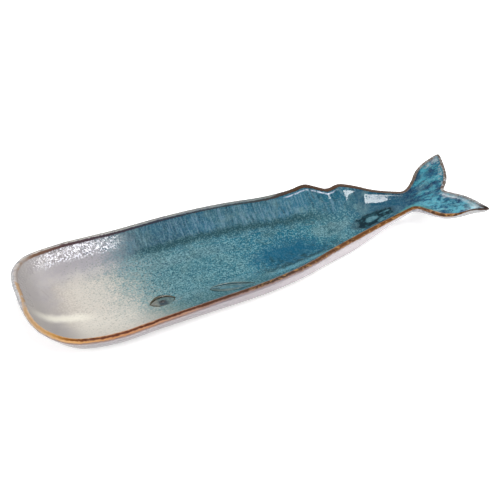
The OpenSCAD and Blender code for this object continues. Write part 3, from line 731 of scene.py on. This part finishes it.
# Outer glaze: the pale grey-lilac glaze on the outside walls and under the tail.
# It is dipped, so it stops in an even line at the edge of the base.
outer_finish, tree, shader = new_finish("pale_outer_glaze", {"IOR": 1.5, "Roughness": 0.16})
wash = placed(tree, pale)
brown = placed(tree, lip_break)
feed(tree, shader, {"Base Color": tint(tree, brown["Mask"], wash["Color"], brown["Color"]),
                    "Normal": bumps(tree, wash["Height"], 0.3, 0.0003)})
show("outer_glaze_fired", coat_mesh(2), outer_finish, "outer_glaze", "outer_glaze")
skin.free()


# Eye line and fin line: the lids of the eye and the outline of the flipper, trailed on in brown slip.
# The slip is laid on the floor and the belly wall, and stands up as soft beads under a clear gloss.
arc_steps = 28
above = 0.1


def on_glaze(x, y):
    return glaze_top.ray_cast(Vector((x / 1000, y / 1000, above)), Vector((0, 0, -1)))[0]


def arc(middle, turn, size, sweep, thick):
    stroke = []
    t = math.radians(turn)
    for i in range(arc_steps + 1):
        share = i / arc_steps
        a = math.radians(sweep[0] + (sweep[1] - sweep[0]) * share)
        px = size[0] / 2 * math.cos(a)
        py = size[1] / 2 * math.sin(a) * abs(math.sin(a)) ** leaf_bow
        swell = thick[0] + (thick[1] - thick[0]) * math.sin(math.pi * share) ** 0.8
        stroke.append((middle[0] + px * math.cos(t) - py * math.sin(t),
                       middle[1] + px * math.sin(t) + py * math.cos(t), swell))
    return stroke


def trail(name, strokes):
    line = bpy.data.curves.new(name, "CURVE")
    line.dimensions = "3D"
    line.bevel_depth = 1.0
    line.bevel_resolution = 3
    line.use_fill_caps = True
    for stroke in strokes:
        spline = line.splines.new("POLY")
        spline.points.add(len(stroke) - 1)
        for point, (x, y, thick) in zip(spline.points, stroke):
            point.co = (*on_glaze(x, y), 1)
            point.radius = thick / 1000
    holder = bpy.data.objects.new(name, line)
    bpy.context.scene.collection.objects.link(holder)
    mesh = bpy.data.meshes.new_from_object(holder.evaluated_get(bpy.context.evaluated_depsgraph_get()))
    mesh.name = name
    bpy.data.objects.remove(holder)
    slopes = mesh.attributes.new("steep", "FLOAT", "POINT")
    slopes.data.foreach_set("value", [1 - v.normal.z for v in mesh.vertices])
    return mesh


slip_finish, tree, shader = new_finish("brown_slip_line", {"IOR": 1.5, "Roughness": 0.08})
place = object_place(tree)
mottle = grain(tree, place, 0.0013, 3, 0.6)
# Lighter on the top of each bead, darker down its sides
side = rise(tree, shifted(tree, marked(tree, "steep"), mottle, 0.5), 0.10, 0.45)
olive = tint(tree, side, (0.085, 0.078, 0.052), (0.014, 0.014, 0.009))
sea = tint(tree, side, (0.12, 0.19, 0.19), (0.005, 0.022, 0.026))
on_flipper = rise(tree, in_mm(tree, place, "X"), -62.0, -48.0)
feed(tree, shader, {"Base Color": tint(tree, on_flipper, olive, sea),
                    "Normal": bumps(tree, mottle, 0.4, 0.0003)})

lids = [arc(eye_mid, eye_turn, eye_size, (180, 0), (0.35, 0.85)),
        arc(eye_mid, eye_turn, (17.0, 10.6), (184, 262), (0.15, 0.50)),
        arc(eye_mid, eye_turn, (17.0, 10.0), (320, 356), (0.15, 0.35))]
show("eye_line_trailed", trail("eye_line_trailed", lids), slip_finish, "slip_line", "eye_line")

flipper = [arc(fin_mid, fin_turn, fin_size, (176, 0), (0.25, 0.75)),
           arc(fin_mid, fin_turn, (30.2, 12.2), (182, 290), (0.45, 0.85)),
           arc(fin_mid, fin_turn, (26.0, 6.4), (150, 20), (0.15, 0.42)),
           arc(fin_mid, fin_turn, (26.0, 6.8), (186, 300), (0.15, 0.48))]
show("fin_line_trailed", trail("fin_line_trailed", flipper), slip_finish, "slip_line", "fin_line")


# Pupil: a drop of dark slip set in the eye, slumped to a low dome by its own weight.
# The gloss over it is broken by the grain of the slip.
drop_low, drop_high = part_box("pupil")
drop_mid = (drop_low + drop_high) / 2
drop_half = Vector((0.0022, 0.0020))
drop_seat = drop_low.z + 0.0002
bm = bmesh.new()
bmesh.ops.create_uvsphere(bm, u_segments=32, v_segments=16, radius=1.0)
bmesh.ops.bisect_plane(bm, geom=bm.verts[:] + bm.edges[:] + bm.faces[:], plane_co=(0, 0, -0.2),
                       plane_no=(0, 0, -1), clear_outer=True)
bmesh.ops.holes_fill(bm, edges=[e for e in bm.edges if e.is_boundary])
for v in bm.verts:
    lump = 1 + 0.10 * noise.noise(v.co * 1.7)
    v.co = (drop_mid.x + v.co.x * lump * drop_half.x, drop_mid.y + v.co.y * lump * drop_half.y,
            drop_seat + v.co.z * (drop_high.z - drop_seat))
drop = bpy.data.meshes.new("pupil_drop")
bm.to_mesh(drop)
bm.free()

pupil_finish, tree, shader = new_finish("dark_pupil_slip", {"IOR": 1.5, "Roughness": 0.45})
mottle = grain(tree, object_place(tree), 0.0011, 3, 0.6)
colour = tint(tree, rise(tree, mottle, 0.38, 0.66), (0.012, 0.016, 0.022), (0.09, 0.085, 0.08))
feed(tree, shader, {"Base Color": colour, "Normal": bumps(tree, mottle, 0.3, 0.0002)})
show("pupil_drop", drop, pupil_finish, "pupil", "pupil")


# Studio: a white table, soft boxes before and beside the dish, a paned window overhead and a pale room.
# The camera stands at the photograph's place.
table_half = 3.0
table_glow = 0.60
table_finish, tree, shader = new_finish("white_table", {
    "Base Color": (0.90, 0.90, 0.90), "Roughness": 0.9, "Specular IOR Level": 0.0,
    "Emission Color": (1, 1, 1)})
ray = put(tree, "ShaderNodeLightPath").outputs
direct = most(tree, ray["Is Camera Ray"], ray["Is Glossy Ray"], ray["Is Transmission Ray"])
feed(tree, shader, {"Emission Strength": times(tree, direct, table_glow)})
table = bpy.data.meshes.new("table")
bm = bmesh.new()
bmesh.ops.create_grid(bm, x_segments=4, y_segments=4, size=table_half)
bm.to_mesh(table)
bm.free()
table.materials.append(table_finish)
table_top = bpy.data.objects.new("table", table)
bpy.context.scene.collection.objects.link(table_top)

world = bpy.data.worlds.new("pale_room")
bpy.context.scene.world = world
world.use_nodes = True
room = world.node_tree
direction = put(room, "ShaderNodeTexCoord").outputs["Generated"]
height = put(room, "ShaderNodeSeparateXYZ", {"Vector": direction}).outputs["Z"]
light = shades(room, height, ((0.0, (0.35, 0.35, 0.35)), (0.16, (0.32, 0.32, 0.32)),
                              (0.40, (0.20, 0.20, 0.205)), (0.95, (0.20, 0.20, 0.205))), low=-0.1, high=1.0)
feed(room, room.nodes["Background"], {"Color": light})


def soft_box(name, towards, away, wide, tall, watts):
    lamp = bpy.data.lights.new(name, "AREA")
    lamp.shape = "RECTANGLE"
    lamp.size = wide
    lamp.size_y = tall
    lamp.energy = watts
    box = bpy.data.objects.new(name, lamp)
    box.location = Vector(towards).normalized() * away
    box.rotation_euler = box.location.to_track_quat("Z", "Y").to_euler()
    bpy.context.scene.collection.objects.link(box)


soft_box("front_box", (0.085, -0.432, 0.898), 1.28, 0.38, 0.42, 6.3)
soft_box("flank_box", (0.584, -0.611, 0.534), 1.31, 0.20, 0.50, 2.8)
soft_box("left_box", (-0.74, -0.38, 0.56), 1.3, 0.45, 0.45, 5.5)
soft_box("near_pane", (0.0229, 0.1033, 0.9944), 1.307, 0.30, 0.21, 3.2)
soft_box("far_pane", (0.011, 0.3041, 0.9526), 1.365, 0.33, 0.31, 5.2)

look_at = Vector((-0.002623, 0.004799, 0.011))
look_back = Vector((-0.29436, -0.70722, 0.64279))
camera_away = 0.75
eye_point = bpy.data.cameras.new("camera")
eye_point.lens = 75.734
eye_point.sensor_width = 36.0
camera = bpy.data.objects.new("camera", eye_point)
camera.location = look_at + look_back * camera_away
camera.rotation_euler = look_back.to_track_quat("Z", "Y").to_euler()
bpy.context.scene.collection.objects.link(camera)
bpy.context.scene.camera = camera
bpy.context.scene.view_settings.view_transform = "Standard"
